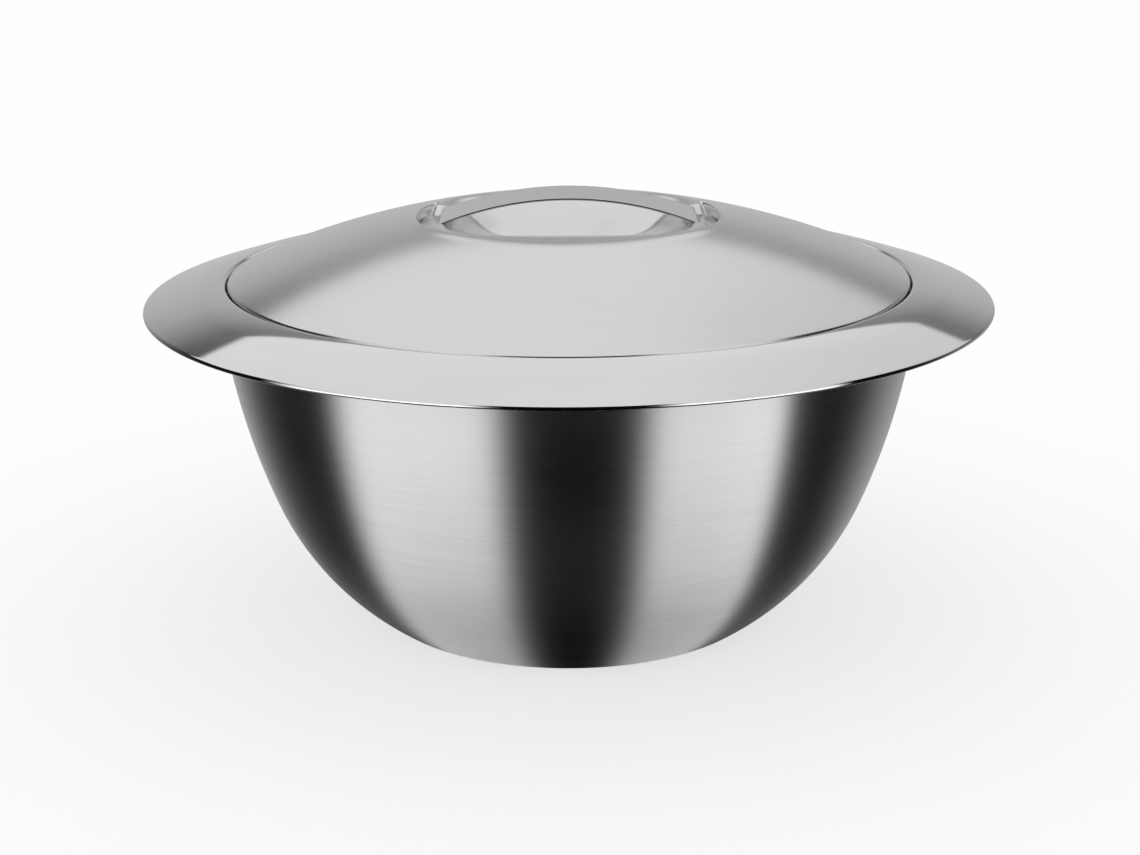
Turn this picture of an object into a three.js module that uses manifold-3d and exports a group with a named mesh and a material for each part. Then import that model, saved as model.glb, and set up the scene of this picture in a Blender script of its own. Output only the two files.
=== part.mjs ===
// A lidded stainless serving bowl: a double-walled bowl with a wide flange, a domed lid that drops onto
// a ledge in its mouth, and a strap handle that bridges a finger well in the lid.
// Millimetres, +Z up. The origin is on the table, under the middle of the base.

import * as THREE from "three";
import { mergeVertices } from "three/addons/utils/BufferGeometryUtils.js";
import loadManifold from "manifold-3d";

const degrees = THREE.MathUtils.degToRad;

// Bowl, both sheets
const BOWL_SHEET = 0.8;
const RIM_RADIUS = 150;
const RIM_HEIGHT = 117;
const FLANGE_RISE = 7.3;
const FLANGE_RIM_ANGLE = degrees(18);
const FLANGE_SHOULDER = 0.7;
const HEM_WIDTH = 6;
const MOUTH_RADIUS = 121.2;
const LEDGE_DEPTH = 3.4;
const LEDGE_WIDTH = 4.5;
const INSIDE_BEND = 0.6;
const WALL_FOOT_ANGLE = degrees(36);
const WALL_TOP_ANGLE = degrees(84.7);
const WALL_FOOT_PULL = 0.14;
const WALL_TOP_PULL = 0.75;

// Outer shell
const BASE_RADIUS = 66;
const BASE_BEND = 6.5;
const SHELL_OUTSET = 3.1;
const SHELL_JOINT_GAP = 0.3;

// Inner bowl
const FLOOR_AIR_GAP = 5;
const FLOOR_INSET = 8;
const FLOOR_BEND = 14;

// Lid
const LID_SHEET = 0.8;
const LID_CLEARANCE = 0.5;
const LID_SEAT_GAP = 0.3;
const LID_EDGE_STANDOUT = 0.1;
const DOME_RADIUS = 295;
const WELL_RADIUS = 58;
const WELL_ROLL_RADIUS = 60;
const WELL_DISH_RADIUS = 40;
const WELL_HALF_LENGTH = 41.5;
const WELL_HALF_WIDTH = 34.5;
const WELL_SQUARENESS = 3.85;
const POCKET_DEPTH = 3.5;
const POCKET_REACH = 41.5;
const POCKET_SLOPE_RUN = 4;
const POCKET_WALL_RUN = 2.6;
const POCKET_HALF_ANGLE = degrees(20);
const POCKET_FADE_ANGLE = degrees(26);

// Handle strap
const STRAP_SHEET = 0.9;
const STRAP_WELD_GAP = 0.3;
const STRAP_RISE = 8.9;
const STRAP_WAIST = 25;
const ARCH_RADIUS = 124;
const ARCH_HALF_SPAN = 44.8;
const LEG_ANGLE = degrees(65);
const LEG_TOP_BEND = 1.5;
const LEG_FOOT_BEND = 1.2;
const TAB_WIDTH = 31;
const TAB_INSET = 5.5;
const TAB_CLEARANCE = 0.6;

const TURN_SEGMENTS = 48;
const BEND_STEPS = 3;
const WALL_STEPS = 8;
const FLANGE_STEPS = 6;
const QUARTER_TURN = Math.PI / 2;

// Sizes that several pieces share
const crestHeight = RIM_HEIGHT + FLANGE_RISE;
const ledgeHeight = crestHeight - LEDGE_DEPTH;
const mouthBend = INSIDE_BEND + BOWL_SHEET;
const lidRadius = MOUTH_RADIUS - LID_CLEARANCE;
const lidEdgeHeight = crestHeight + LID_EDGE_STANDOUT;
const domeCentreHeight = lidEdgeHeight - Math.sqrt(DOME_RADIUS ** 2 - lidRadius ** 2);
const wellRimHeight = domeCentreHeight + Math.sqrt(DOME_RADIUS ** 2 - WELL_RADIUS ** 2);
const pocketHeight = wellRimHeight - POCKET_DEPTH;
const tabRadius = WELL_RADIUS - TAB_INSET;
const pocketEnd = tabRadius + TAB_CLEARANCE;

const point = (across, up) => new THREE.Vector2(across, up);
const direction = (angle) => point(Math.cos(angle), Math.sin(angle));

function arcLine(centre, radius, fromAngle, toAngle, steps) {
  const line = [];
  for (let k = 0; k <= steps; k += 1) {
    const angle = THREE.MathUtils.lerp(fromAngle, toAngle, k / steps);
    line.push(direction(angle).multiplyScalar(radius).add(centre));
  }
  return line;
}

// Straight runs through the corners, each corner rounded to its own radius (none keeps it sharp).
function bentLine(corners) {
  const line = [];
  corners.forEach(({ at, bend }, i) => {
    if (!bend) {
      line.push(at.clone());
      return;
    }
    const back = corners[i - 1].at.clone().sub(at).normalize();
    const ahead = corners[i + 1].at.clone().sub(at).normalize();
    const halfAngle = Math.acos(back.dot(ahead)) / 2;
    const toCentre = back.clone().add(ahead).setLength(bend / Math.sin(halfAngle));
    const centre = at.clone().add(toCentre);
    const start = at.clone().addScaledVector(back, bend / Math.tan(halfAngle)).sub(centre).angle();
    const sweep = (Math.PI - 2 * halfAngle) * Math.sign(ahead.cross(back));
    line.push(...arcLine(centre, bend, start, start + sweep, BEND_STEPS));
  });
  return line;
}

// Lines end to end, with each shared point kept once.
function joined(...lines) {
  const points = [];
  lines.flat().forEach((p) => {
    if (points.length === 0 || points.at(-1).distanceTo(p) > 1e-4) points.push(p);
  });
  return points;
}

// The line moved to the left of its direction of travel. A point on the axis stays on the axis.
function offset(line, distance) {
  return line.map((p, i) => {
    const before = p.clone().sub(line[Math.max(i - 1, 0)]).normalize();
    const after = line[Math.min(i + 1, line.length - 1)].clone().sub(p).normalize();
    const along = before.clone().add(after).normalize();
    const mitre = Math.max(along.dot(before), along.dot(after));
    const moved = point(-along.y, along.x).multiplyScalar(distance / mitre).add(p);
    return Math.abs(p.x) < 1e-6 ? point(0, p.y + distance) : moved;
  });
}

function heightAt(line, across) {
  const i = line.findIndex((p) => p.x >= across);
  const share = (across - line[i - 1].x) / (line[i].x - line[i - 1].x);
  return THREE.MathUtils.lerp(line[i - 1].y, line[i].y, share);
}

// Revolves a closed profile about the vertical axis. It runs out along the underside and back on top.
function turned(profile) {
  return new THREE.LatheGeometry(profile, TURN_SEGMENTS).rotateX(QUARTER_TURN);
}

// A flat floor, the bend at its edge, and one cubic curve for the wall.
function floorAndWall(floorRadius, floorHeight, bend, top) {
  const bendCentre = point(floorRadius, floorHeight + bend);
  const bendLine = arcLine(bendCentre, bend, -QUARTER_TURN, WALL_FOOT_ANGLE - QUARTER_TURN, BEND_STEPS);
  const foot = bendLine.at(-1);
  const height = top.y - foot.y;
  const wall = new THREE.CubicBezierCurve(
    foot,
    foot.clone().addScaledVector(direction(WALL_FOOT_ANGLE), height * WALL_FOOT_PULL),
    top.clone().addScaledVector(direction(WALL_TOP_ANGLE), -height * WALL_TOP_PULL),
    top,
  );
  return joined([point(0, floorHeight)], bendLine, wall.getPoints(WALL_STEPS));
}

// The folded edge is two sheets thick: a half circle round this centre.
const foldCentre = point(RIM_RADIUS - BOWL_SHEET, RIM_HEIGHT - BOWL_SHEET);

// The flange's top face, from the crest at the mouth down to the fold at the rim.
function flangeTop() {
  const crest = point(MOUTH_RADIUS + mouthBend, crestHeight);
  const rim = direction(QUARTER_TURN - FLANGE_RIM_ANGLE).multiplyScalar(BOWL_SHEET).add(foldCentre);
  const shoulderRun = ((rim.x - crest.x) * FLANGE_SHOULDER) / Math.cos(FLANGE_RIM_ANGLE);
  const shoulder = rim.clone().addScaledVector(direction(-FLANGE_RIM_ANGLE), -shoulderRun);
  return new THREE.QuadraticBezierCurve(crest, shoulder, rim).getPoints(FLANGE_STEPS);
}

// Food side of the bowl: floor, wall, ledge for the lid, mouth, flange and folded edge.
function innerBowl() {
  const floorHeight = BOWL_SHEET + FLOOR_AIR_GAP + BOWL_SHEET;
  const ledgeRadius = MOUTH_RADIUS - LEDGE_WIDTH;
  const wallTop = point(ledgeRadius, ledgeHeight - mouthBend);
  const flange = flangeTop();
  const seat = bentLine([
    { at: wallTop },
    { at: point(ledgeRadius, ledgeHeight), bend: mouthBend },
    { at: point(MOUTH_RADIUS, ledgeHeight), bend: INSIDE_BEND },
    { at: point(MOUTH_RADIUS, crestHeight), bend: mouthBend },
    { at: flange[0] },
  ]);
  const wall = floorAndWall(BASE_RADIUS - FLOOR_INSET, floorHeight, FLOOR_BEND, wallTop);
  const top = joined(wall, seat, flange);
  const underside = offset(top, -BOWL_SHEET);

  const foldStart = -QUARTER_TURN - FLANGE_RIM_ANGLE;
  const fold = arcLine(foldCentre, BOWL_SHEET, foldStart, foldStart + Math.PI, BEND_STEPS * 2);
  const hemEnd = fold[0].clone().addScaledVector(direction(-FLANGE_RIM_ANGLE), -HEM_WIDTH);
  const hemStart = point(hemEnd.x, heightAt(underside, hemEnd.x));
  const bare = underside.filter((p) => p.x < hemEnd.x - BOWL_SHEET);
  return turned(joined(bare, [hemStart, hemEnd], fold, top.reverse()));
}

// Brushed outside of the bowl: a flat base and a wall that is joined to the flange from below.
function outerShell() {
  const shellRadius = MOUTH_RADIUS + SHELL_OUTSET;
  const flangeUnderside = offset(flangeTop(), -BOWL_SHEET);
  const top = point(shellRadius, heightAt(flangeUnderside, shellRadius) - SHELL_JOINT_GAP);
  const outside = floorAndWall(BASE_RADIUS, 0, BASE_BEND, top);
  const inside = offset(outside, BOWL_SHEET);
  return turned(joined(outside, inside.reverse()));
}

// The lid's top face from the middle of the well, over its rolled edge and the dome, to the lip.
function lidTop() {
  const domeCentre = point(0, domeCentreHeight);
  const rollAngle = Math.acos(WELL_RADIUS / DOME_RADIUS);
  const rollCentre = direction(rollAngle).multiplyScalar(DOME_RADIUS - WELL_ROLL_RADIUS).add(domeCentre);
  const reach = WELL_ROLL_RADIUS + WELL_DISH_RADIUS;
  const dishAngle = Math.asin(rollCentre.x / reach);
  const dishCentre = point(0, rollCentre.y + reach * Math.cos(dishAngle));
  const edgeBend = INSIDE_BEND + LID_SHEET;
  const edgeAngle = Math.acos((lidRadius - edgeBend) / (DOME_RADIUS - edgeBend));
  const edgeCentre = direction(edgeAngle).multiplyScalar(DOME_RADIUS - edgeBend).add(domeCentre);
  const onRoll = (across) => Math.acos((across - rollCentre.x) / WELL_ROLL_RADIUS);
  const roll = (from, to, steps) => arcLine(rollCentre, WELL_ROLL_RADIUS, from, to, steps);
  const slopeTop = onRoll(POCKET_REACH);
  const slopeFoot = onRoll(POCKET_REACH + POCKET_SLOPE_RUN);
  const wallFoot = onRoll(pocketEnd);
  const wallTop = onRoll(pocketEnd + POCKET_WALL_RUN);
  return joined(
    arcLine(dishCentre, WELL_DISH_RADIUS, -QUARTER_TURN, dishAngle - QUARTER_TURN, 4),
    roll(QUARTER_TURN + dishAngle, slopeTop, 6),
    roll(slopeTop, slopeFoot, 4),
    roll(slopeFoot, wallFoot, 2),
    roll(wallFoot, wallTop, 4),
    roll(wallTop, rollAngle, 1),
    arcLine(domeCentre, DOME_RADIUS, rollAngle, edgeAngle, 5),
    arcLine(edgeCentre, edgeBend, edgeAngle, 0, BEND_STEPS),
    [point(lidRadius, ledgeHeight + LID_SEAT_GAP)],
  );
}

const rise = THREE.MathUtils.smoothstep;

// How far the well reaches from its middle in this direction: an oblong with well-rounded corners.
function wellReach(fromStrap) {
  const along = (Math.cos(fromStrap) / WELL_HALF_LENGTH) ** WELL_SQUARENESS;
  const across = (Math.sin(fromStrap) / WELL_HALF_WIDTH) ** WELL_SQUARENESS;
  return (along + across) ** (-1 / WELL_SQUARENESS);
}

// Draws the round well out to its oblong and presses a flat pocket for each of the strap's tabs.
function pressWell(geometry, top, underside) {
  const position = geometry.getAttribute("position");
  const normal = geometry.getAttribute("normal");
  for (let i = 0; i < position.count; i += 1) {
    const x = position.getX(i);
    const y = position.getY(i);
    const radius = Math.hypot(x, y);
    if (radius < LID_SHEET || radius > WELL_RADIUS) continue;
    const onTop = normal.getZ(i) > 0;
    const fromStrap = Math.atan2(Math.abs(y), Math.abs(x));

    const reach = wellReach(fromStrap);
    const squeeze = (1 - WELL_HALF_WIDTH / reach) * (1 - rise(radius, reach, WELL_RADIUS));
    const height = heightAt(onTop ? top : underside, radius * (1 - squeeze));

    const lag = onTop ? 0 : LID_SHEET * 0.8;
    const inside = rise(radius + lag, POCKET_REACH, POCKET_REACH + POCKET_SLOPE_RUN);
    const outside = 1 - rise(radius - lag, pocketEnd, pocketEnd + POCKET_WALL_RUN);
    const beside = 1 - rise(fromStrap, POCKET_HALF_ANGLE, POCKET_HALF_ANGLE + POCKET_FADE_ANGLE);
    const floor = onTop ? pocketHeight : pocketHeight - LID_SHEET;
    position.setZ(i, THREE.MathUtils.lerp(height, floor, inside * outside * beside));
  }
  return geometry;
}

function lid() {
  const top = lidTop();
  const underside = offset(top, -LID_SHEET);
  const sheet = turned(joined(underside, [...top].reverse()));
  return pressWell(sheet, top, underside);
}

const wasm = await loadManifold();
wasm.setup();

function asSolid(geometry) {
  geometry.deleteAttribute("normal");
  geometry.deleteAttribute("uv");
  const merged = mergeVertices(geometry);
  const vertProperties = new Float32Array(merged.getAttribute("position").array);
  const triVerts = new Uint32Array(merged.getIndex().array);
  return new wasm.Manifold(new wasm.Mesh({ numProp: 3, vertProperties, triVerts }));
}

function asGeometry(solid) {
  const { vertProperties, triVerts } = solid.getMesh();
  const geometry = new THREE.BufferGeometry();
  geometry.setAttribute("position", new THREE.BufferAttribute(vertProperties, 3));
  geometry.setIndex(new THREE.BufferAttribute(triVerts, 1));
  geometry.computeVertexNormals();
  return geometry;
}

// The strap's top line, seen from the side: arch, short steep leg and flat tab, for both halves.
function strapTop() {
  const tabHeight = pocketHeight + STRAP_WELD_GAP + STRAP_SHEET;
  const archCentre = point(0, wellRimHeight + STRAP_RISE - ARCH_RADIUS);
  const archSlope = Math.asin(ARCH_HALF_SPAN / ARCH_RADIUS);
  const arch = arcLine(archCentre, ARCH_RADIUS, QUARTER_TURN, QUARTER_TURN - archSlope, 12);
  const legTop = arch.at(-1).clone();
  legTop.addScaledVector(direction(-archSlope), LEG_TOP_BEND * Math.tan((LEG_ANGLE - archSlope) / 2));
  const legLength = (legTop.y - tabHeight) / Math.sin(LEG_ANGLE);
  const legFoot = legTop.clone().addScaledVector(direction(-LEG_ANGLE), legLength);
  const legAndTab = bentLine([
    { at: arch.at(-1) },
    { at: legTop, bend: LEG_TOP_BEND },
    { at: legFoot, bend: LEG_FOOT_BEND },
    { at: point(tabRadius, tabHeight) },
  ]);
  const half = joined(arch, legAndTab);
  const mirrored = half.map((p) => point(-p.x, p.y)).reverse();
  return joined(mirrored, half);
}

// The strap's outline from above: waisted edges and tab ends that follow the round of the well.
function strapPlan() {
  const tabHalf = TAB_WIDTH / 2;
  const waistHalf = STRAP_WAIST / 2;
  const tabAngle = Math.asin(tabHalf / tabRadius);
  const corner = direction(tabAngle).multiplyScalar(tabRadius);
  const edge = new THREE.CubicBezierCurve(
    corner,
    point(corner.x * 0.75, THREE.MathUtils.lerp(waistHalf, tabHalf, 0.4)),
    point(corner.x * 0.4, waistHalf),
    point(0, waistHalf),
  ).getPoints(12);
  const end = arcLine(point(0, 0), tabRadius, 0, tabAngle, 4);
  const quarter = joined(end, edge);
  const left = quarter.map((p) => point(-p.x, p.y)).reverse();
  const back = joined(quarter, left);
  const front = back.map((p) => point(p.x, -p.y)).reverse();
  return joined(back, front).slice(0, -1);
}

// The bent sheet, as wide as its tabs, cut to the outline.
function handleStrap() {
  const top = strapTop();
  const side = new THREE.Shape(joined(offset(top, -STRAP_SHEET), top.reverse()));
  const sheet = new THREE.ExtrudeGeometry(side, { depth: TAB_WIDTH * 1.1, bevelEnabled: false });
  sheet.translate(0, 0, -TAB_WIDTH * 0.55);
  sheet.rotateX(QUARTER_TURN);
  const plan = new THREE.Shape(strapPlan());
  const prism = new THREE.ExtrudeGeometry(plan, { depth: crestHeight * 2, bevelEnabled: false });
  return asGeometry(asSolid(sheet).intersect(asSolid(prism)));
}

const SATIN_STEEL = { color: 0xc9ccce, metalness: 1, roughness: 0.28 };
const POLISHED_STEEL = { color: 0xd2d5d7, metalness: 1, roughness: 0.12 };
const BRUSHED_STEEL = { color: 0xb4b7b9, metalness: 1, roughness: 0.38 };

function piece(name, geometry, finish) {
  const mesh = new THREE.Mesh(geometry, new THREE.MeshStandardMaterial({ name: `${name}_steel`, ...finish }));
  mesh.name = name;
  return mesh;
}

const bowl = new THREE.Group();
bowl.name = "lidded_bowl";
bowl.add(
  piece("inner_bowl", innerBowl(), POLISHED_STEEL),
  piece("outer_shell", outerShell(), BRUSHED_STEEL),
  piece("lid", lid(), SATIN_STEEL),
  piece("handle_strap", handleStrap(), SATIN_STEEL),
);

export default bowl;
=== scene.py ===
"""A lidded stainless serving bowl: brushed body, polished flange, domed satin lid and strap handle."""

import math

import bmesh
import bpy
from bpy.props import FloatProperty, FloatVectorProperty, PointerProperty
from mathutils import Matrix, Vector


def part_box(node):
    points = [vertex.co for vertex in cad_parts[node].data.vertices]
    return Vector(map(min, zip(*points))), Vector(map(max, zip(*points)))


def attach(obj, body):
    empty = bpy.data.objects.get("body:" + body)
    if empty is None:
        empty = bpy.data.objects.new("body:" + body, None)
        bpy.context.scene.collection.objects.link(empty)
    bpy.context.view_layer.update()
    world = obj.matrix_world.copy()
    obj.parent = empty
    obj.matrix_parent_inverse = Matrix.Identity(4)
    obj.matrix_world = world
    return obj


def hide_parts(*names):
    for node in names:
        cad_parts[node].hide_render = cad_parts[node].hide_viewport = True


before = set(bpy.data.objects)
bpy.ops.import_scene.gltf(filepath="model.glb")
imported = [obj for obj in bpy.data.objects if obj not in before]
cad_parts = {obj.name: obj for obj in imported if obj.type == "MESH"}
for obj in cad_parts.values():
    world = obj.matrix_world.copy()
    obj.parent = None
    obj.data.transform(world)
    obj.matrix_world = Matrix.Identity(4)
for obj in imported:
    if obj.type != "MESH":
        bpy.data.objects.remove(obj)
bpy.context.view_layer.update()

bl_info = {
    "name": "Lidded Serving Bowl",
    "version": (1, 0, 0),
    "blender": (4, 5, 0),
    "location": "3D View > Sidebar > Bowl",
    "description": "Makes a double-walled steel bowl with a domed lift-off lid and its studio",
    "category": "Add Mesh",
}

MM = 0.001
TURN = 2 * math.pi
QUARTER = math.pi / 2
ROUND_STEPS = 240
CUT_EDGE = 0.1 * MM

HIGH_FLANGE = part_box("inner_bowl")[1]
HIGH_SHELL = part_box("outer_shell")[1]
LOW_LID, HIGH_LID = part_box("lid")
LOW_STRAP, HIGH_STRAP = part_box("handle_strap")


def length(name, description, default):
    """A size that a user can change, in metres."""
    return FloatProperty(
        name=name, description=description, default=default, unit="LENGTH", precision=5
    )


def angle(name, description, degrees):
    """An angle that a user can change."""
    return FloatProperty(
        name=name, description=description, default=math.radians(degrees), subtype="ANGLE"
    )


def share(name, description, default):
    """A number from 0 to 1."""
    return FloatProperty(
        name=name, description=description, default=default, min=0.0, max=1.0, subtype="FACTOR"
    )


def colour(name, description, grey):
    """A colour that starts as a neutral steel grey."""
    default = (grey, grey * 1.005, grey * 1.012)
    return FloatVectorProperty(
        name=name, description=description, default=default, subtype="COLOR", size=3
    )


class BowlSizes(bpy.types.PropertyGroup):
    """Sizes of both bowl sheets and the flange."""

    sheet: length("Sheet", "Thickness of the bowl's sheet", 0.8 * MM)
    rim_radius: length("Rim radius", "Radius over the folded edge", HIGH_FLANGE[0])
    rim_height: length("Rim height", "Top of the folded edge above the table", 117 * MM)
    crest_height: length("Crest height", "Top of the flange at the mouth", HIGH_FLANGE[2])
    mouth_radius: length("Mouth radius", "Radius of the opening that the lid drops into", 121.2 * MM)
    mouth_bend: length("Mouth bend", "Outer radius of the bend at the mouth", 1.4 * MM)
    ledge_depth: length("Ledge depth", "Ledge below the crest", 3.4 * MM)
    ledge_width: length("Ledge width", "Width of the ledge that carries the lid", 4.5 * MM)
    fold: length("Fold", "Outer radius of the folded edge", 0.85 * MM)
    hem: length("Hem", "Width of the sheet that is folded under", 6 * MM)
    floor_height: length("Floor height", "Food side of the floor above the table", 6.6 * MM)
    floor_radius: length("Floor radius", "Radius of the inner bowl's flat floor", 58 * MM)
    floor_bend: length("Floor bend", "Bend between the inner floor and wall", 14 * MM)
    base_radius: length("Base radius", "Radius of the outer shell's flat base", 66 * MM)
    base_bend: length("Base bend", "Bend between the base and the wall", 6.5 * MM)
    shell_radius: length("Shell radius", "Outside of the wall just below the flange", HIGH_SHELL[0])
    shell_height: length("Shell height", "Top of the outer shell", HIGH_SHELL[2])
    foot_angle: angle("Foot angle", "Slope of the wall just above the base", 34)
    belly_angle: angle("Belly angle", "Slope of the wall where its curve slackens", 68)
    top_angle: angle("Top angle", "Slope of the wall at its top", 86)
    flange_start: angle("Flange start", "Slope of the flange at the crest", 8)
    flange_middle: angle("Flange middle", "Slope where the flange straightens", 16.5)
    flange_end: angle("Flange end", "Slope of the flange at the rim", 18.5)


class LidSizes(bpy.types.PropertyGroup):
    """Sizes of the lid and the strap."""

    sheet: length("Sheet", "Thickness of the lid", 0.8 * MM)
    radius: length("Radius", "Radius over the turned-down edge", HIGH_LID[0])
    edge_height: length("Edge height", "Where the dome would meet the edge", 124.4 * MM)
    edge_bend: length("Edge bend", "Outer radius of the bend at the edge", 1.4 * MM)
    lip_height: length("Lip height", "Lower end of the turned-down edge", LOW_LID[2])
    dome: length("Dome", "Radius of the dome's sphere", 295 * MM)
    well: length("Well", "Radius where the dome rolls over into the well", 58 * MM)
    roll: length("Roll", "Radius of the rolled edge of the well", 60 * MM)
    dish: length("Dish", "Radius of the well's dished floor", 40 * MM)
    well_length: length("Well half length", "Reach of the well along the strap", 41.5 * MM)
    well_width: length("Well half width", "Reach of the well across the strap", 34.5 * MM)
    pocket_depth: length("Pocket depth", "Depth of the strap's pockets below the well's rim", 3.5 * MM)
    pocket_reach: length("Pocket reach", "Where the slope into a pocket begins", 43 * MM)
    pocket_slope: length("Pocket slope", "Run of the slope into a pocket", 3.4 * MM)
    pocket_wall: length("Pocket wall", "Run of the wall at a pocket's outer end", 1.2 * MM)
    strap_sheet: length("Strap sheet", "Thickness of the strap", 0.9 * MM)
    strap_rise: length("Strap rise", "Top of the strap above the well's rim", 8.9 * MM)
    strap_waist: length("Strap waist", "Width of the strap in the middle", 25 * MM)
    tab_width: length("Tab width", "Width of the strap's tabs", HIGH_STRAP[1] - LOW_STRAP[1])
    tab_radius: length("Tab radius", "Radius of the tabs' ends about the lid's axis", HIGH_STRAP[0])
    arch: length("Arch", "Radius of the strap's arch", 124 * MM)
    half_span: length("Half span", "Reach of the arch to each side", 44.8 * MM)
    leg_angle: angle("Leg angle", "Slope of the strap's short legs", 65)
    leg_bend: length("Leg bend", "Bend between the arch and a leg", 1.5 * MM)
    foot_bend: length("Foot bend", "Bend between a leg and its tab", 1.2 * MM)
    weld_gap: length("Weld gap", "Tab above its pocket", 0.3 * MM)


class SteelFinishes(bpy.types.PropertyGroup):
    """Colour and gloss of the three steel finishes."""

    brushed: colour("Brushed", "Colour of the brushed body", 0.74)
    brushed_roughness: share("Brushed roughness", "Mean roughness of the brushed body", 0.38)
    polished: colour("Polished", "Colour of the polished flange and inside", 0.67)
    polished_roughness: share("Polished roughness", "Roughness of the polished steel", 0.05)
    satin: colour("Satin", "Colour of the lid and strap", 0.66)
    satin_roughness: share("Satin roughness", "Roughness of the satin steel", 0.2)


def fresh_sizes():
    """The sizes and finishes that the panel shows."""
    scene = bpy.context.scene
    return scene.bowl_sizes, scene.lid_sizes, scene.steel_finishes


class Wire:
    """A socket of a shader tree. Python sums on it add Math nodes."""

    def __init__(self, tree, socket=None):
        self.tree = tree
        self.socket = socket

    def node(self, kind, settings=None, inputs=None, output=0):
        """Adds a node: its settings first, then the values or links of its sockets."""
        made = self.tree.nodes.new(kind)
        for name, value in (settings or {}).items():
            if name == "stops":
                set_stops(made.color_ramp, value)
            else:
                setattr(made, name, value)
        for name, value in (inputs or {}).items():
            if isinstance(value, Wire):
                self.tree.links.new(value.socket, made.inputs[name])
            else:
                made.inputs[name].default_value = value
        return Wire(self.tree, made.outputs[output] if len(made.outputs) else None)

    def math(self, operation, *values):
        """A Math node on these values, links or numbers."""
        return self.node("ShaderNodeMath", {"operation": operation}, dict(enumerate(values)))

    def __add__(self, other):
        return self.math("ADD", self, other)

    def __radd__(self, other):
        return self.math("ADD", other, self)

    def __sub__(self, other):
        return self.math("SUBTRACT", self, other)

    def __rsub__(self, other):
        return self.math("SUBTRACT", other, self)

    def __mul__(self, other):
        return self.math("MULTIPLY", self, other)

    def __rmul__(self, other):
        return self.math("MULTIPLY", other, self)

    def __truediv__(self, other):
        return self.math("DIVIDE", self, other)

    def __pow__(self, other):
        return self.math("POWER", self, other)

    def output(self, name):
        """Another output of the same node."""
        return Wire(self.tree, self.socket.node.outputs[name])

    def ramp(self, stops):
        """A grey ramp over this value, from (position, level) stops."""
        return self.node("ShaderNodeValToRGB", {"stops": stops}, {"Fac": self})

    def between(self, low, high):
        """Rises smoothly from 0 to 1 as this value goes from low to high."""
        settings = {"interpolation_type": "SMOOTHSTEP"}
        limits = {"Value": self, "From Min": low, "From Max": high}
        return self.node("ShaderNodeMapRange", settings, limits)

    def mix(self, first, second):
        """First colour where this value is 0, second where it is 1."""
        settings = {"data_type": "RGBA", "blend_type": "MIX"}
        return self.node("ShaderNodeMix", settings, {0: self, 6: first, 7: second}, output=2)


def set_stops(ramp, stops):
    """Replaces a ramp's stops by grey levels."""
    while len(ramp.elements) > 1:
        ramp.elements.remove(ramp.elements[-1])
    for i, (position, level) in enumerate(stops):
        element = ramp.elements[0] if i == 0 else ramp.elements.new(position)
        element.position = position
        element.color = (level, level, level, 1.0)


def new_material(name):
    """An empty node material, with a handle on its tree."""
    material = bpy.data.materials.new(name)
    material.use_nodes = True
    material.node_tree.nodes.clear()
    return material, Wire(material.node_tree)


def steel(tree, tint, roughness, base_shift, depth, bump=None, anisotropic=0.0):
    """A metal shader, darker by depth where base_shift is 0."""
    shade = tuple(tint) + (1.0,)
    darker = tuple(c * (1 - depth) for c in tint) + (1.0,)
    inputs = {
        "Base Color": base_shift.mix(darker, shade),
        "Roughness": roughness,
        "Metallic": 1.0,
        "Anisotropic": anisotropic,
        "Anisotropic Rotation": 0.25 if anisotropic else 0.0,
    }
    if bump is not None:
        inputs["Normal"] = bump
    surface = tree.node("ShaderNodeBsdfPrincipled", None, inputs)
    tree.node("ShaderNodeOutputMaterial", None, {"Surface": surface})


def object_place(tree):
    """Object coordinates, as a vector and as x, y and z."""
    place = tree.node("ShaderNodeTexCoord", None, None, output=3)
    apart = tree.node("ShaderNodeSeparateXYZ", None, {"Vector": place})
    return place, apart, apart.output("Y"), apart.output("Z")


def noise(tree, vector, scale, detail, roughness=0.55):
    """A noise pattern about 0.5."""
    inputs = {"Vector": vector, "Scale": scale, "Detail": detail, "Roughness": roughness}
    return tree.node("ShaderNodeTexNoise", None, inputs)


def round_lines(tree, lines_per_metre):
    """Fine lines that run round the axis, broken here and there along their length."""
    place, x, y, z = object_place(tree)
    radius = (x * x + y * y) ** 0.5
    bearing = tree.math("ARCTAN2", y, x)
    along = bearing * 2.2
    across = (z + radius * 0.45) * lines_per_metre
    vector = tree.node("ShaderNodeCombineXYZ", None, {"X": along, "Y": across, "Z": radius * 40.0})
    return noise(tree, vector, 1.0, 4.0, 0.7), place


def brushed_steel(finishes):
    """Brushed round the body: reflections are drawn out up and down."""
    material, tree = new_material("brushed_steel")
    fine, place = round_lines(tree, 2600.0)
    coarse, _ = round_lines(tree, 420.0)
    cloud = noise(tree, place, 16.0, 2.0)
    uneven = (fine - 0.5) * 0.08 + (coarse - 0.5) * 0.05 + (cloud - 0.5) * 0.02
    rough = finishes.brushed_roughness + uneven
    lines = (fine * 0.65 + coarse * 0.35).between(0.25, 0.62)
    grooves = {"Strength": 0.05, "Distance": 0.04 * MM, "Height": fine + coarse * 0.5}
    bump = tree.node("ShaderNodeBump", None, grooves)
    steel(tree, finishes.brushed, rough, lines, 0.12, bump, anisotropic=1.0)
    return material


def polished_steel(finishes):
    """Mirror polish with the faint haze and wipe marks of a washed bowl."""
    material, tree = new_material("polished_steel")
    hairs, place = round_lines(tree, 900.0)
    haze = noise(tree, place, 22.0, 3.0)
    rough = finishes.polished_roughness + (haze - 0.5) * 0.02 + (hairs - 0.5) * 0.02
    marks = (haze * 0.5 + hairs * 0.5).between(0.2, 0.6)
    steel(tree, finishes.polished, rough, marks, 0.04)
    return material


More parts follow.
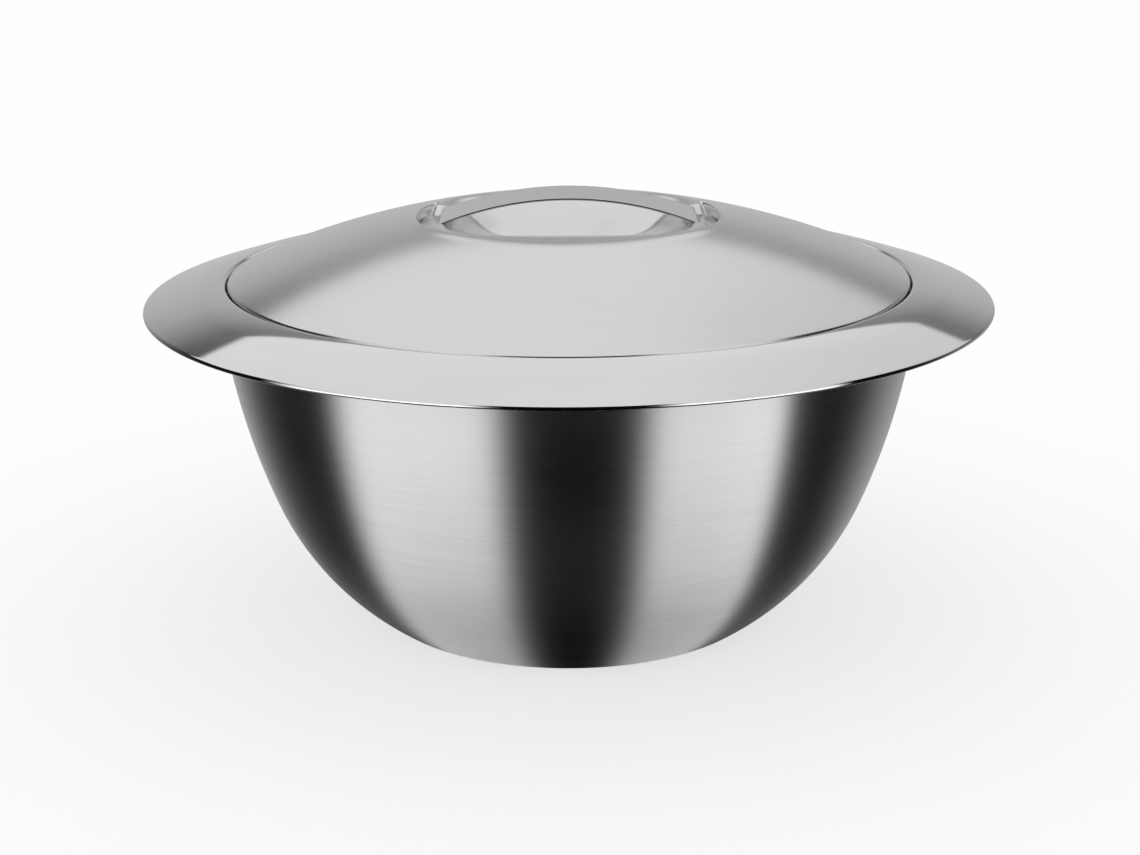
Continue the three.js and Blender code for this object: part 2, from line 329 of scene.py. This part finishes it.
def satin_steel(finishes):
    """Soft polish with a very fine round grain."""
    material, tree = new_material("satin_steel")
    grain, place = round_lines(tree, 1500.0)
    haze = noise(tree, place, 14.0, 3.0)
    rough = finishes.satin_roughness + (grain - 0.5) * 0.03 + (haze - 0.5) * 0.02
    marks = (haze * 0.4 + grain * 0.6).between(0.2, 0.6)
    steel(tree, finishes.satin, rough, marks, 0.04)
    return material


class SheetLine:
    """A line in the XZ plane, drawn by straight runs and tangent turns, then spun about the axis."""

    def __init__(self, across, up):
        self.bm = bmesh.new()
        self.tip = self.bm.verts.new((across, 0.0, up))
        self.heading = 0.0

    def run(self, distance, steps):
        step = Vector((math.cos(self.heading), 0.0, math.sin(self.heading))) * (distance / steps)
        for _ in range(steps):
            made = bmesh.ops.extrude_vert_indiv(self.bm, verts=[self.tip])
            self.tip = made["verts"][0]
            bmesh.ops.translate(self.bm, verts=[self.tip], vec=step)

    def turn(self, radius, bend, steps):
        """Turns left for a positive bend and right for a negative one."""
        side = math.copysign(radius, bend)
        centre = self.tip.co + Vector((-math.sin(self.heading), 0.0, math.cos(self.heading))) * side
        made = bmesh.ops.spin(
            self.bm, geom=[self.tip], cent=centre, axis=(0, -1, 0),
            angle=bend, steps=steps, use_merge=False,
        )
        self.tip = next(part for part in made["geom_last"] if isinstance(part, bmesh.types.BMVert))
        self.heading += bend

    def draw(self, moves):
        for move in moves:
            if len(move) == 2:
                self.run(*move)
            else:
                self.turn(*move)

    def draw_back(self, moves, sheet):
        """The same moves the other way, one sheet thickness to the right of where they came."""
        for move in reversed(moves):
            if len(move) == 2:
                self.run(*move)
            else:
                radius, bend, steps = move
                self.turn(radius + (sheet if bend > 0 else -sheet), -bend, steps)

    def spun(self):
        """The solid of revolution, with its seam and poles closed."""
        bm = self.bm
        bmesh.ops.spin(
            bm, geom=bm.verts[:] + bm.edges[:], cent=(0, 0, 0), axis=(0, 0, 1),
            angle=TURN, steps=ROUND_STEPS, use_merge=True,
        )
        bmesh.ops.remove_doubles(bm, verts=bm.verts, dist=0.01 * MM)
        bmesh.ops.recalc_face_normals(bm, faces=bm.faces)
        return bm


def two_bends(across, up, start, middle, end):
    """Radii of two tangent turns, from one slope to the next, that together go across and up."""
    a, b = math.sin(middle) - math.sin(start), math.sin(end) - math.sin(middle)
    c, d = math.cos(start) - math.cos(middle), math.cos(middle) - math.cos(end)
    spread = a * d - b * c
    return abs((across * d - b * up) / spread), abs((a * up - across * c) / spread)


def wall_moves(sizes, floor_radius, floor_height, bend, top):
    """Flat floor, bend and the two tangent arcs of a wall that ends at top, a radius and a height."""
    foot_across = top[0] - floor_radius - bend * math.sin(sizes.foot_angle)
    foot_up = top[1] - floor_height - bend * (1 - math.cos(sizes.foot_angle))
    belly, upper = two_bends(foot_across, foot_up, sizes.foot_angle, sizes.belly_angle, sizes.top_angle)
    return [
        (floor_radius - 1 * MM, 5),
        (1 * MM, 1),
        (bend, sizes.foot_angle, 10),
        (belly, sizes.belly_angle - sizes.foot_angle, 28),
        (upper, sizes.top_angle - sizes.belly_angle, 28),
    ]


def add_piece(name, bm, material, node, body):
    """Makes the mesh an object that stands for a CAD node and rides on its body."""
    mesh = bpy.data.meshes.new(name)
    bm.to_mesh(mesh)
    bm.free()
    mesh.polygons.foreach_set("use_smooth", [True] * len(mesh.polygons))
    mesh.materials.append(material)
    piece = bpy.data.objects.new(name, mesh)
    bpy.context.scene.collection.objects.link(piece)
    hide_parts(node)
    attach(piece, body)


class MakeOuterShell(bpy.types.Operator):
    """Draw and spin the brushed outside of the bowl"""

    bl_idname = "serving_bowl.outer_shell"
    bl_label = "Outer Shell"

    def execute(self, context):
        sizes, _, finishes = fresh_sizes()
        line = SheetLine(0.0, 0.0)
        top = (sizes.shell_radius, sizes.shell_height - sizes.sheet / 2)
        moves = wall_moves(sizes, sizes.base_radius, 0.0, sizes.base_bend, top)
        line.draw(moves)
        line.turn(sizes.sheet / 2, math.pi, 8)
        line.draw_back(moves, -sizes.sheet)
        steel_look = brushed_steel(finishes)
        add_piece("body_shell", line.spun(), steel_look, "outer_shell", "bowl")
        return {"FINISHED"}


class MakeInnerBowl(bpy.types.Operator):
    """Draw and spin the polished inside, ledge, flange and folded edge"""

    bl_idname = "serving_bowl.inner_bowl"
    bl_label = "Inner Bowl and Flange"

    def execute(self, context):
        sizes, _, finishes = fresh_sizes()
        inside = sizes.mouth_bend - sizes.sheet
        ledge = sizes.crest_height - sizes.ledge_depth
        ledge_radius = sizes.mouth_radius - sizes.ledge_width
        top = (ledge_radius, ledge - sizes.mouth_bend * (1 - math.cos(sizes.top_angle)))
        ledge_run = sizes.ledge_width - sizes.mouth_bend * math.sin(sizes.top_angle) - inside
        fold_radius = sizes.rim_radius - sizes.fold * (1 - math.sin(sizes.flange_end))
        fold_height = sizes.rim_height - sizes.fold * (1 - math.cos(sizes.flange_end))
        crest_across = sizes.mouth_bend * (1 + math.sin(sizes.flange_start))
        crest_drop = sizes.mouth_bend * (1 - math.cos(sizes.flange_start))
        flange_across = fold_radius - sizes.mouth_radius - crest_across
        flange_up = fold_height - sizes.crest_height + crest_drop
        start, middle, end = -sizes.flange_start, -sizes.flange_middle, -sizes.flange_end
        shoulder, skirt = two_bends(flange_across, flange_up, start, middle, end)
        hem_bend = sizes.hem / skirt
        moves = wall_moves(sizes, sizes.floor_radius, sizes.floor_height, sizes.floor_bend, top) + [
            (sizes.mouth_bend, -sizes.top_angle, 9),
            (ledge_run, 3),
            (inside, QUARTER, 6),
            (sizes.ledge_depth - inside - sizes.mouth_bend, 2),
            (sizes.mouth_bend, -QUARTER + start, 14),
            (shoulder, middle - start, 26),
            (skirt, end - middle + hem_bend, 24),
        ]
        hem = [(skirt, -hem_bend, 12)]
        line = SheetLine(0.0, sizes.floor_height)
        line.draw(moves + hem)
        line.turn(sizes.fold, -math.pi, 16)
        line.draw_back(hem, 2 * sizes.fold)
        line.turn(CUT_EDGE, -QUARTER, 3)
        line.run(2 * sizes.fold - sizes.sheet - 2 * CUT_EDGE, 1)
        line.turn(CUT_EDGE, QUARTER, 3)
        line.draw_back(moves, sizes.sheet)
        steel_look = polished_steel(finishes)
        add_piece("inside_and_flange", line.spun(), steel_look, "inner_bowl", "bowl")
        return {"FINISHED"}


WELL_SQUARENESS = 3.85
WELL_END_STEEPNESS = 1.6
POCKET_CLEARANCE = 0.3 * MM
POCKET_STEP_BACK = 4.2 * MM
POCKET_SIDE_SHARE = 0.75
POCKET_SIDE = math.radians(20), math.radians(33)
POCKET_FADE = math.radians(24), math.radians(52)
STRAP_EDGE = 0.22 * MM


def rise(value, low, high):
    """A smooth step from 0 to 1 between two limits."""
    t = min(max((value - low) / (high - low), 0.0), 1.0)
    return t * t * (3 - 2 * t)


def lid_heights(sizes):
    """Height of the dome's centre, of the well's rim and of the strap's pockets."""
    centre = sizes.edge_height - math.sqrt(sizes.dome ** 2 - sizes.radius ** 2)
    rim = centre + math.sqrt(sizes.dome ** 2 - sizes.well ** 2)
    return centre, rim, rim - sizes.pocket_depth


def well_place(sizes, radius, from_strap):
    """Where on the round profile this place lies, for a well with an oblong plan and steep ends."""
    along = (math.cos(from_strap) / sizes.well_length) ** WELL_SQUARENESS
    across = (math.sin(from_strap) / sizes.well_width) ** WELL_SQUARENESS
    reach = (along + across) ** (-1 / WELL_SQUARENESS)
    if radius < reach:
        steepness = 1 + WELL_END_STEEPNESS * along / (along + across)
        return sizes.well_width * (radius / reach) ** steepness
    squeeze = 1 - sizes.well_width / reach
    return radius * (1 - squeeze * (1 - rise(radius, reach, sizes.well)))


def press_well(bm, sizes, height_at):
    """Draws the round well out to its oblong and presses a flat pocket for each tab of the strap."""
    pocket = lid_heights(sizes)[2]
    wall = sizes.tab_radius + POCKET_CLEARANCE
    tab_side = sizes.tab_width / 2 - 0.7 * MM, sizes.tab_width / 2 + 1.7 * MM
    bm.normal_update()
    for vert in bm.verts:
        radius = vert.co.xy.length
        if radius > sizes.well or radius < 0.1 * MM:
            continue
        on_top = vert.normal.z > 0
        from_strap = math.atan2(abs(vert.co.y), abs(vert.co.x))
        below = 0.0 if on_top else sizes.sheet
        height = height_at(well_place(sizes, radius, from_strap)) - below
        lag = below * 0.8
        slope = sizes.pocket_reach + POCKET_STEP_BACK * rise(abs(vert.co.y), *tab_side)
        inside = rise(abs(vert.co.x) + lag, slope, slope + sizes.pocket_slope)
        outside = 1 - rise(radius - lag, wall, wall + sizes.pocket_wall)
        beside = 1 - POCKET_SIDE_SHARE * rise(from_strap, *POCKET_SIDE)
        beside -= (1 - POCKET_SIDE_SHARE) * rise(from_strap, *POCKET_FADE)
        vert.co.z = height + (pocket - below - height) * inside * outside * beside


def roll_moves(sizes, roll_across, start, end):
    """Turns over the roll, with close steps where the pockets' slopes and walls are pressed."""
    slope, wall = sizes.pocket_reach, sizes.tab_radius
    radii = (slope - 1 * MM, slope + sizes.pocket_slope + 4 * MM, wall, wall + 2 * MM)
    slopes = [start, *(math.asin((radius - roll_across) / sizes.roll) for radius in radii), end]
    steps = (40, 20, 6, 14, 8)
    return [(sizes.roll, a - b, count) for a, b, count in zip(slopes, slopes[1:], steps)]


class MakeLid(bpy.types.Operator):
    """Draw, spin and press the domed lid"""

    bl_idname = "serving_bowl.lid"
    bl_label = "Lid"

    def execute(self, context):
        _, sizes, finishes = fresh_sizes()
        centre, rim, _ = lid_heights(sizes)
        dome_slope = math.asin(sizes.well / sizes.dome)
        edge_slope = math.asin((sizes.radius - sizes.edge_bend) / (sizes.dome - sizes.edge_bend))
        roll_across = sizes.well - sizes.roll * math.sin(dome_slope)
        roll_centre = rim - sizes.roll * math.cos(dome_slope)
        dish_slope = math.asin(roll_across / (sizes.roll + sizes.dish))
        floor = roll_centre + (sizes.roll + sizes.dish) * math.cos(dish_slope) - sizes.dish
        edge_end = centre + (sizes.dome - sizes.edge_bend) * math.cos(edge_slope)
        moves = [
            (sizes.dish, dish_slope, 24),
            *roll_moves(sizes, roll_across, -dish_slope, dome_slope),
            (sizes.dome, dome_slope - edge_slope, 36),
            (sizes.edge_bend, edge_slope - QUARTER, 12),
            (edge_end - sizes.lip_height - sizes.sheet / 2, 3),
        ]
        line = SheetLine(0.0, floor)
        line.draw(moves)
        line.turn(sizes.sheet / 2, -math.pi, 8)
        line.draw_back(moves, sizes.sheet)
        bm = line.spun()
        join = sizes.dish * math.sin(dish_slope)

        def height_at(radius):
            if radius < join:
                return floor + sizes.dish - math.sqrt(sizes.dish ** 2 - radius ** 2)
            return roll_centre + math.sqrt(sizes.roll ** 2 - (radius - roll_across) ** 2)

        press_well(bm, sizes, height_at)
        add_piece("domed_lid", bm, satin_steel(finishes), "lid", "lid")
        return {"FINISHED"}


class MakeStrap(bpy.types.Operator):
    """Bend, waist and thicken the strap handle"""

    bl_idname = "serving_bowl.strap"
    bl_label = "Strap Handle"

    def execute(self, context):
        _, sizes, finishes = fresh_sizes()
        _, rim, pocket = lid_heights(sizes)
        tab_height = pocket + sizes.weld_gap + sizes.strap_sheet
        slope = math.asin(sizes.half_span / sizes.arch)
        leg = sizes.leg_angle
        drop = rim + sizes.strap_rise - tab_height - sizes.arch * (1 - math.cos(slope))
        drop -= sizes.leg_bend * (math.cos(slope) - math.cos(leg)) + sizes.foot_bend * (1 - math.cos(leg))
        leg_run = drop / math.sin(leg)
        foot = sizes.half_span + sizes.leg_bend * (math.sin(leg) - math.sin(slope))
        foot += leg_run * math.cos(leg) + sizes.foot_bend * math.sin(leg)
        tab = (sizes.tab_radius - foot, 6)
        rising = [tab, (sizes.foot_bend, leg, 8), (leg_run, 3), (sizes.leg_bend, slope - leg, 8)]
        falling = [(sizes.leg_bend, slope - leg, 8), (leg_run, 3), (sizes.foot_bend, leg, 8), tab]
        line = SheetLine(-sizes.tab_radius, tab_height)
        line.draw(rising + [(sizes.arch, -2 * slope, 72)] + falling)
        bm = line.bm
        made = bmesh.ops.extrude_edge_only(bm, edges=bm.edges[:])
        far = [part for part in made["geom"] if isinstance(part, bmesh.types.BMVert)]
        near = [vert for vert in bm.verts if vert not in far]
        bmesh.ops.translate(bm, verts=near, vec=(0, -1, 0))
        bmesh.ops.translate(bm, verts=far, vec=(0, 1, 0))
        across = [edge for edge in bm.edges if abs(edge.verts[0].co.y - edge.verts[1].co.y) > 1]
        bmesh.ops.subdivide_edges(bm, edges=across, cuts=19, use_grid_fill=True)
        waist, tab_half = sizes.strap_waist / 2, sizes.tab_width / 2
        corner = math.sqrt(sizes.tab_radius ** 2 - tab_half ** 2)
        for vert in bm.verts:
            part = min(abs(vert.co.x) / corner, 1.0)
            vert.co.y *= waist + (tab_half - waist) * (part ** 2 + part ** 4) / 2
            beyond = (abs(vert.co.x) - foot) / (sizes.tab_radius - foot)
            if beyond > 0:
                end = math.sqrt(sizes.tab_radius ** 2 - vert.co.y ** 2)
                vert.co.x = math.copysign(foot + beyond * (end - foot), vert.co.x)
        bmesh.ops.recalc_face_normals(bm, faces=bm.faces)
        if sum(face.normal.z for face in bm.faces) < 0:
            bmesh.ops.reverse_faces(bm, faces=bm.faces)
        bmesh.ops.solidify(bm, geom=bm.faces[:], thickness=sizes.strap_sheet)
        bm.normal_update()
        edges = [edge for edge in bm.edges if edge.calc_face_angle(0.0) > 1.0]
        bmesh.ops.bevel(
            bm, geom=edges, offset=STRAP_EDGE, offset_type="OFFSET", affect="EDGES",
            segments=3, profile=0.5, material=-1, clamp_overlap=True,
        )
        bmesh.ops.recalc_face_normals(bm, faces=bm.faces)
        add_piece("strap_handle", bm, satin_steel(finishes), "handle_strap", "lid")
        return {"FINISHED"}


PANEL_LEVEL = 2.25

# What steel sees round the studio: degrees from the camera's side, and level
STUDIO_ROUND = (
    (-95, 0.62), (-84, 0.5), (-77, 0.4), (-70, 0.19), (-63, 0.06), (-56, 0.015), (-43, 0.006),
    (-37.6, 1.95), (-22, 2.2), (-14, 2.25), (-9.5, 0.006),
    (11, 0.006), (15.5, 2.15), (25, 2.05), (36.4, 2.05),
    (38.7, 0.006), (50, 0.012), (56, 0.06), (63, 0.22), (70, 0.29), (77, 0.36), (95, 0.58),
)

# How the far side dims below the ceiling: degrees above the horizon, and share
FAR_SIDE_DIMS = ((0, 1.0), (10, 0.97), (15, 0.9), (19, 0.72), (23, 0.5))
CEILING_EDGE = 25.0, 26.2
CEILING_LEVEL = 0.97
CEILING_LEAN = 7.5
BACK_WALL_LEVEL = 0.57
TABLE_GLOW = 0.33
UPPER_PANEL_LOSS = 0.56
STUDIO_CENTRE = 0.95
HORIZONTAL_LEAST = 0.0001
LENS = 68.65
CAMERA_PLACE = 0.00022, -0.7607, 0.2895
CAMERA_DOWN = math.radians(16.339)
CAMERA_ROLL = math.radians(-0.258)
FLOOR_RADIUS = 4.0
SHADOW_SHARE = 0.4


def studio_world():
    """White for the camera and the floor. Steel sees side panels, dark gaps, a back wall and a ceiling."""
    world = bpy.data.worlds.new("studio")
    world.use_nodes = True
    world.node_tree.nodes.clear()
    world.cycles.sampling_method = "NONE"
    tree = Wire(world.node_tree)
    place = tree.node("ShaderNodeTexCoord")
    x = tree.node("ShaderNodeSeparateXYZ", None, {"Vector": place})
    y, z = x.output("Y"), x.output("Z")
    bearing = tree.math("ARCTAN2", x, STUDIO_CENTRE - y) / TURN + 0.5
    height = tree.math("ARCSINE", z) / QUARTER * 90.0
    stops = [(degrees / 360 + 0.5, level / PANEL_LEVEL) for degrees, level in STUDIO_ROUND]
    around = bearing.ramp(stops) * PANEL_LEVEL
    leaning = height + x * CEILING_LEAN
    dimmed = (leaning / 90.0).ramp([(degrees / 90, part) for degrees, part in FAR_SIDE_DIMS])
    ceiling = leaning.between(*CEILING_EDGE)
    ceiling_level = CEILING_LEVEL - x.between(0.05, 0.5) * 0.2
    level_run = (x * x + y * y) ** 0.5 + HORIZONTAL_LEAST
    turned_back = y / level_run
    wall = turned_back.between(0.89, 0.98) * height.between(-28.0, -13.0)
    far_side = (around * (1.0 - wall) + wall * BACK_WALL_LEVEL) * dimmed * (1.0 - ceiling)
    back = (far_side + ceiling * ceiling_level) * height.between(-45.0, -12.0)
    overhead = height.between(42.0, 53.0)
    upper = 1.0 - height.between(-8.0, 6.0) * UPPER_PANEL_LOSS
    panels = around * upper * height.between(-60.0, -19.0)
    front = panels * (1.0 - overhead) + overhead
    behind = turned_back.between(0.3, 0.55)
    sideways = tree.math("ABSOLUTE", x).between(0.08, 0.22)
    low = 1.0 - height.between(-22.0, -8.0)
    table_glow = sideways * turned_back.between(0.55, 0.95) * low * TABLE_GLOW
    seen = front * (1.0 - behind) + back * behind + table_glow
    glossy = tree.node("ShaderNodeLightPath").output("Is Glossy Ray")
    greys = {"Red": seen, "Green": seen, "Blue": seen}
    light = glossy.mix((1.0, 1.0, 1.0, 1.0), tree.node("ShaderNodeCombineColor", None, greys))
    shader = tree.node("ShaderNodeBackground", None, {"Color": light, "Strength": 1.0})
    tree.node("ShaderNodeOutputWorld", None, {"Surface": shader})
    return world


def pale_floor():
    """A white floor that keeps part of the bowl's soft shadow."""
    material, tree = new_material("pale_floor")
    paper = tree.node("ShaderNodeBsdfDiffuse", None, {"Color": (0.98, 0.98, 0.98, 1.0)})
    white = {"Color": (1.0, 1.0, 1.0, 1.0), "Strength": 1.0}
    glow = tree.node("ShaderNodeEmission", None, white)
    surface = tree.node("ShaderNodeMixShader", None, {0: SHADOW_SHARE, 1: glow, 2: paper})
    tree.node("ShaderNodeOutputMaterial", None, {"Surface": surface})
    return material


class MakeStage(bpy.types.Operator):
    """Set up the floor, the studio and the camera"""

    bl_idname = "serving_bowl.stage"
    bl_label = "Stage"

    def execute(self, context):
        scene = context.scene
        scene.world = studio_world()
        scene.view_settings.view_transform = "Standard"
        bm = bmesh.new()
        bmesh.ops.create_circle(bm, cap_ends=True, segments=96, radius=FLOOR_RADIUS)
        mesh = bpy.data.meshes.new("floor")
        bm.to_mesh(mesh)
        bm.free()
        mesh.materials.append(pale_floor())
        floor = bpy.data.objects.new("floor", mesh)
        floor.visible_glossy = False
        scene.collection.objects.link(floor)
        camera = bpy.data.objects.new("camera", bpy.data.cameras.new("camera"))
        camera.data.sensor_fit = "HORIZONTAL"
        camera.data.sensor_width = 36.0
        camera.data.lens = LENS
        camera.data.clip_start = 0.05
        tilt = Matrix.Rotation(QUARTER - CAMERA_DOWN, 4, "X")
        roll = Matrix.Rotation(CAMERA_ROLL, 4, "Z")
        camera.matrix_world = Matrix.Translation(CAMERA_PLACE) @ tilt @ roll
        scene.collection.objects.link(camera)
        scene.camera = camera
        return {"FINISHED"}


OPERATORS = (MakeOuterShell, MakeInnerBowl, MakeLid, MakeStrap, MakeStage)


class BowlPanel(bpy.types.Panel):
    """Lists the bowl's pieces in the sidebar"""

    bl_idname = "VIEW3D_PT_serving_bowl"
    bl_label = "Lidded Serving Bowl"
    bl_space_type = "VIEW_3D"
    bl_region_type = "UI"
    bl_category = "Bowl"

    def draw(self, context):
        for operator in OPERATORS:
            self.layout.operator(operator.bl_idname)
        for group in fresh_sizes():
            box = self.layout.box()
            for name in group.__annotations__:
                box.prop(group, name)


GROUPS = {"bowl_sizes": BowlSizes, "lid_sizes": LidSizes, "steel_finishes": SteelFinishes}


def register():
    for cls in (*GROUPS.values(), *OPERATORS, BowlPanel):
        bpy.utils.register_class(cls)
    for name, group in GROUPS.items():
        setattr(bpy.types.Scene, name, PointerProperty(type=group))


def unregister():
    for name in GROUPS:
        delattr(bpy.types.Scene, name)
    for cls in reversed((*GROUPS.values(), *OPERATORS, BowlPanel)):
        bpy.utils.unregister_class(cls)


def main():
    register()
    bpy.ops.serving_bowl.stage()
    bpy.ops.serving_bowl.outer_shell()
    bpy.ops.serving_bowl.inner_bowl()
    bpy.ops.serving_bowl.lid()
    bpy.ops.serving_bowl.strap()


if __name__ == "__main__":
    main()
